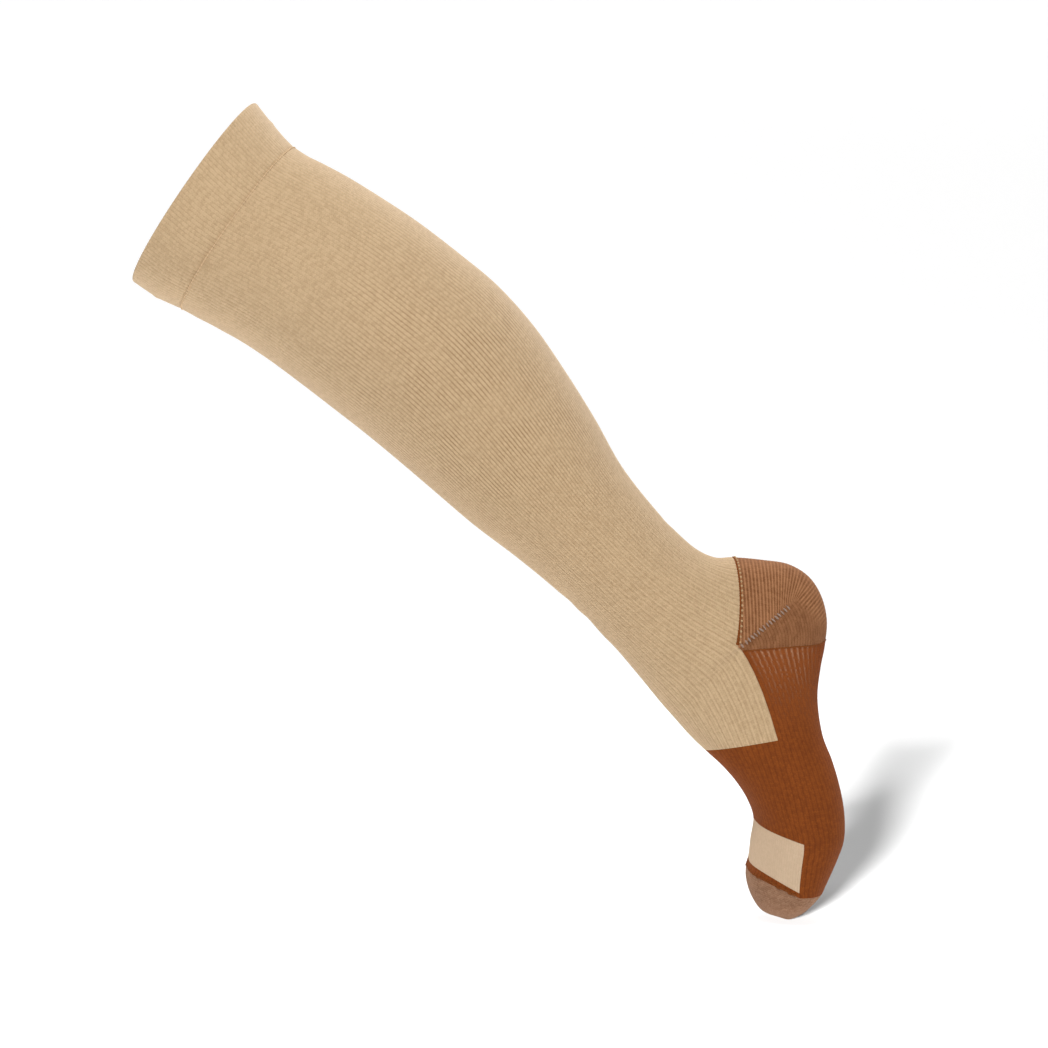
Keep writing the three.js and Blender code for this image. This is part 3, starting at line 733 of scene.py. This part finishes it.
cap_columns = 2 * WALES
points, normals, rows, kept, length = knitted_zone([("cap line", "tip", "both")], cap_columns, 0.5)
normals[-1] = normals[-2].mean(axis=0) / np.linalg.norm(normals[-2].mean(axis=0))
fade = np.minimum((length[-1] - length) / 12, 1)[:, None]
lift = 0.12 * fade * (0.5 + 0.5 * np.cos(2 * math.pi * length[:, None] / TOE_COURSE))
outer = points + normals * lift[..., None]
inner = (points - normals * TOE_WALL)[:, ::4]
toe_cap_cloth = wall_mesh("toe_cap_cloth", outer, inner, kept, WALES, length / TOE_COURSE,
                          closed_tip=True)
toe_mesh = bmesh.new()
toe_mesh.from_mesh(toe_cap_cloth.data)
bmesh.ops.remove_doubles(toe_mesh, verts=toe_mesh.verts, dist=0.01 * MM)
toe_mesh.to_mesh(toe_cap_cloth.data)
toe_mesh.free()
toe_knit = knit_material("Plated toe knit", TOE_LIGHT, TOE_BROWN, heather_shade, fibre=0.75, each=0.25)
finished(toe_cap_cloth, toe_knit, ["toe_cap"])

# Stitches: the row of thread that sews the welt down, the loops on the lines round the heel, the
# slanted loops along the gore lines and the linked seam over the toes.


def stitches(name, places, along, normals, length, width, rise):
    """Short bent yarns as one mesh. A stitch's middle line is t * length/2 along and
    rise * (1 - t^2) over the cloth, with t from -1 to 1, and its round section thins to the ends
    by sqrt(1 - t^2). The width is one number, or one for each stitch."""
    t = np.linspace(-0.98, 0.98, 9)
    sideways = np.cross(along, normals)
    line = (places[:, None] + along[:, None] * (t * length / 2)[:, None]
            + normals[:, None] * (rise * (1 - t ** 2))[:, None])
    turn = np.arange(8) / 8 * 2 * math.pi
    section = (np.cos(turn)[:, None] * sideways[:, None] + np.sin(turn)[:, None] * normals[:, None])
    radius = (np.reshape(width, (-1, 1)) / 2 * np.sqrt(1 - t ** 2))[:, :, None, None]
    points = line[:, :, None] + radius * section[:, None]
    index = np.arange(points[..., 0].size).reshape(points.shape[:3])
    onward = np.roll(index, -1, axis=2)
    quads = np.stack([index[:, :-1], onward[:, :-1], onward[:, 1:], index[:, 1:]], axis=-1)
    faces = quads.reshape(-1, 4)[:, ::-1].tolist() + index[:, 0].tolist()
    faces += index[:, -1, ::-1].tolist()
    around_yarn = np.broadcast_to(np.arange(8) / 8, index.shape)
    along_yarn = np.broadcast_to((t * length / 2)[:, None], index.shape)
    uv = np.stack([around_yarn, along_yarn], axis=-1).reshape(-1, 2)
    order = np.concatenate([np.array(face) for face in (np.array(faces[:-2 * len(places)]).ravel(),
                            index[:, 0].ravel(), index[:, -1, ::-1].ravel())])
    return mesh_object(name, points.reshape(-1, 3), faces, uv[order])


def along_line(name, turn, shift=0.0):
    """Places, directions round the tube and outward normals on a knitted line, by their part of
    a turn, shift mm on towards the toe."""
    def at(turn, ahead=0.0):
        around, on_front = ring(turn)
        rows = line_rows(name, around, on_front)
        return cloth(rows + (shift + ahead) / pace(rows, around, on_front), around, on_front)

    over = at(turn + 0.002) - at(turn - 0.002)
    over /= np.linalg.norm(over, axis=-1, keepdims=True)
    normals = np.cross(over, at(turn, 0.5) - at(turn))
    normals /= np.linalg.norm(normals, axis=-1, keepdims=True)
    return at(turn), over, normals


def yarn_material(name, yarn, deep):
    """Sewing or knitting yarn, uneven in colour along its fibres."""
    material = bpy.data.materials.new(name)
    material.use_nodes = True
    tree = material.node_tree
    shader = tree.nodes["Principled BSDF"]
    uneven = use_group(tree, yarn_group, Fibre=1.2, Patch=0.4)
    shade = maths(tree, "ADD", uneven["Shade"], 0.7)
    tree.links.new(mixed(tree, shade, deep, yarn), shader.inputs["Base Color"])
    normal = add_node(tree, "ShaderNodeBump", Height=uneven["Fibres"], Distance=0.0002, Strength=0.4)
    tree.links.new(normal.outputs[0], shader.inputs["Normal"])
    shader.inputs["Roughness"].default_value = 0.85
    shader.inputs["Sheen Weight"].default_value = 0.2
    shader.inputs["Sheen Tint"].default_value = (*yarn, 1)
    shader.inputs["Specular IOR Level"].default_value = 0.12
    return material


def between(start, end, count):
    """Middles of a number of equal parts between two values."""
    return start + (end - start) * (np.arange(count) + 0.5) / count


def on_heel(flat):
    """Places and outward normals on the near side of the heel at points seen from the side, from
    the nearest point of a dense grid."""
    rows, around = np.meshgrid(np.linspace(ROW_OF["heel line"], ROW_OF["sole line"], 300),
                               np.linspace(-0.99, 0, 300), indexing="ij")
    grid = cloth(rows, around, np.zeros(rows.shape, bool))
    normals = np.cross(np.gradient(grid, axis=0), np.gradient(grid, axis=1))
    normals /= np.linalg.norm(normals, axis=-1, keepdims=True)
    normals *= -np.sign(normals[..., 1:2])
    off = ((grid[None, ..., ::2] - flat[:, None, None]) ** 2).sum(-1)
    nearest = off.reshape(len(flat), -1).argmin(axis=1)
    return grid.reshape(-1, 3)[nearest], normals.reshape(-1, 3)[nearest]


def both_sides(*rows):
    """The same arrays of points or directions, followed by their mirror image."""
    return [np.vstack([part, part * (1, -1, 1)]) for part in rows]


beige_yarn = yarn_material("Beige thread", (0.74, 0.55, 0.35), (0.55, 0.37, 0.20))
copper_yarn = yarn_material("Copper yarn", (0.24, 0.070, 0.014), (0.11, 0.028, 0.006))
plated_yarn = yarn_material("Plated yarn", (0.62, 0.42, 0.225), (0.40, 0.23, 0.11))
gore_yarn = yarn_material("Gore yarn", (0.42, 0.30, 0.235), (0.22, 0.125, 0.08))

seam = along_line("welt seam", between(0, 1, WALES), shift=0.6)
finished(stitches("welt_seam_stitches", *seam, 2.3, 0.7, 0.22), beige_yarn)
heel_top = along_line("heel line", between(0.506, 0.994, 43), shift=0.9)
finished(stitches("heel_line_stitches", *heel_top, 1.4, 1.25, 0.25), plated_yarn)
heel_turn = between(0.504, 0.996, 88)
to_corner = (0.25 - np.abs(heel_turn - 0.75)) / 0.25
heel_edge = along_line("heel line", heel_turn, shift=-0.2)
heel_edge_width = 1.0 + 1.2 * np.exp(-(to_corner / 0.12) ** 2)
finished(stitches("heel_line_yarn", *heel_edge, 2.2, heel_edge_width, 0.1), copper_yarn)
sole = along_line("sole line", between(0.504, 0.996, 72), shift=0.2)
finished(stitches("sole_line_yarn", *sole, 2.8, 0.8, 0.1), copper_yarn)

gore_direction = np.array([GORE_END[0] - GORE_START[0], 0, GORE_END[1] - GORE_START[1]]) / gore_length
gore_count = 16
chance = np.random.default_rng(7)
on_gore = np.append(0.02, between(0.07, 0.86, gore_count - 1))
places, normals = on_heel(GORE_START + (GORE_END - GORE_START) * on_gore[:, None])
gore_across = np.cross(normals, gore_direction) + chance.uniform(-0.35, 0.15, gore_count)[:, None] * (
    gore_direction)
gore_across /= np.linalg.norm(gore_across, axis=-1, keepdims=True)
gore_width = np.tile(chance.uniform(0.75, 1.3, gore_count), 2)
gore = stitches("gore_stitches", *both_sides(places, gore_across, normals), 3.3, gore_width, 0.3)
finished(gore, gore_yarn)

toe_turn = between(0.012, 0.488, 44)
toe = along_line("cap line", toe_turn, shift=-0.7)
toe_width = 0.5 + 0.9 * np.abs(toe_turn - 0.25) / 0.25
toe_wave = 0.5 * np.sin(np.arange(44) * 1.9) + 0.2 * np.sin(np.arange(44) * 0.7)
toe_places = toe[0] + np.cross(toe[2], toe[1]) * toe_wave[:, None]
finished(stitches("toe_seam_yarn", toe_places, *toe[1:], 3.4, toe_width, 0.25), copper_yarn)

# Studio: a pale floor with a backdrop that rises behind it, a soft light high in front, fills from
# the right and from behind, and the camera on the photograph's level. A low light that reaches the
# floor alone, and that the foot alone shades, gives the soft shadow behind the foot.
CAMERA_DISTANCE = 1.8
VIEW_WIDTH = 0.60784
PICTURE_CENTRE = (0.1914, -0.19256)
LIGHT_DISTANCE = 3.0
SHADOW_LIGHT = {"azimuth": -10.5, "height": 6.5, "width": 4.5, "strength": 0.9}
FLOOR_WHITE, BACKDROP_WHITE = 0.27, 0.3
floor_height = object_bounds()[0].z


def studio_sheet(name, y, z, white, glow):
    """Stage sheet: a profile of y and z places, carried across the picture."""
    x = np.array([-5.0, 5.5])
    points = np.stack([np.repeat(x, len(y)), np.tile(y, 2), np.tile(z, 2)], axis=-1)
    index = np.arange(len(y) - 1)
    faces = np.stack([index, index + len(y), index + len(y) + 1, index + 1], axis=-1)
    mesh = bpy.data.meshes.new(name)
    mesh.from_pydata(points.tolist(), [], faces.tolist())
    mesh.shade_smooth()
    sheet = bpy.data.objects.new(name, mesh)
    bpy.context.collection.objects.link(sheet)
    material = bpy.data.materials.new(name)
    material.use_nodes = True
    shader = material.node_tree.nodes["Principled BSDF"]
    shader.inputs["Base Color"].default_value = (white, white, white, 1)
    shader.inputs["Roughness"].default_value = 1.0
    shader.inputs["Specular IOR Level"].default_value = 0.0
    shader.inputs["Emission Color"].default_value = (1, 1, 1, 1)
    shader.inputs["Emission Strength"].default_value = glow
    mesh.materials.append(material)
    return sheet


def aimed(lamp, azimuth, height, distance):
    """Puts a light azimuth degrees to the right of the camera and height degrees up, at a
    distance from the middle of the object, and turns it there."""
    turn, rise = math.radians(azimuth), math.radians(height)
    towards = Vector((math.sin(turn) * math.cos(rise), -math.cos(turn) * math.cos(rise),
                      math.sin(rise)))
    lamp.location = Vector((PICTURE_CENTRE[0], 0, PICTURE_CENTRE[1])) + towards * distance
    lamp.rotation_euler = towards.to_track_quat("Z", "Y").to_euler()
    bpy.context.collection.objects.link(lamp)


def soft_light(name, azimuth, height, size, strength):
    """Square area light. Its strength is the brightness that it gives a white surface facing it,
    which takes strength * (pi * distance)^2 watts."""
    data = bpy.data.lights.new(name, "AREA")
    data.size = size
    data.energy = strength * (math.pi * LIGHT_DISTANCE) ** 2
    aimed(bpy.data.objects.new(name, data), azimuth, height, LIGHT_DISTANCE)


floor = studio_sheet("studio_floor", [-4.0, 3.0], [floor_height, floor_height],
                     FLOOR_WHITE, 0)
quarter = np.linspace(0, math.pi / 2, 25)
studio_sheet("studio_backdrop", np.append(3.0 + 1.2 * np.sin(quarter), 4.2),
             floor_height + np.append(1.2 - 1.2 * np.cos(quarter), 5.0), BACKDROP_WHITE, 0.8)
soft_light("key", azimuth=-9, height=58, size=1.2, strength=0.63)
soft_light("right light", azimuth=60, height=50, size=1.6, strength=0.06)
soft_light("back light", azimuth=165, height=55, size=2.0, strength=0.7)

# A sun's brightness on the floor is strength * albedo * sin(height) / pi
sun = bpy.data.lights.new("shadow light", "SUN")
sun.angle = math.radians(SHADOW_LIGHT["width"])
sun.energy = SHADOW_LIGHT["strength"] * math.pi / (
    FLOOR_WHITE * math.sin(math.radians(SHADOW_LIGHT["height"])))
shadow_light = bpy.data.objects.new("shadow light", sun)
aimed(shadow_light, SHADOW_LIGHT["azimuth"], SHADOW_LIGHT["height"], LIGHT_DISTANCE)
lit_by_it = bpy.data.collections.new("Floor alone")
lit_by_it.objects.link(floor)
shadow_light.light_linking.receiver_collection = lit_by_it
shading_it = bpy.data.collections.new("Foot alone")
for piece in (heel_cloth, foot_cloth, toe_panel_cloth, toe_cap_cloth):
    shading_it.objects.link(piece)
shadow_light.light_linking.blocker_collection = shading_it

world = bpy.data.worlds.new("Studio")
world.use_nodes = True
world.node_tree.nodes["Background"].inputs["Color"].default_value = (1, 1, 1, 1)
world.node_tree.nodes["Background"].inputs["Strength"].default_value = 0.25
bpy.context.scene.world = world
bpy.context.scene.view_settings.view_transform = "Standard"

camera = bpy.data.objects.new("camera", bpy.data.cameras.new("camera"))
camera.data.sensor_width = 36
camera.data.lens = camera.data.sensor_width * CAMERA_DISTANCE / VIEW_WIDTH
camera.location = (PICTURE_CENTRE[0], -CAMERA_DISTANCE, PICTURE_CENTRE[1])
camera.rotation_euler = (math.pi / 2, 0, 0)
bpy.context.collection.objects.link(camera)
bpy.context.scene.camera = camera
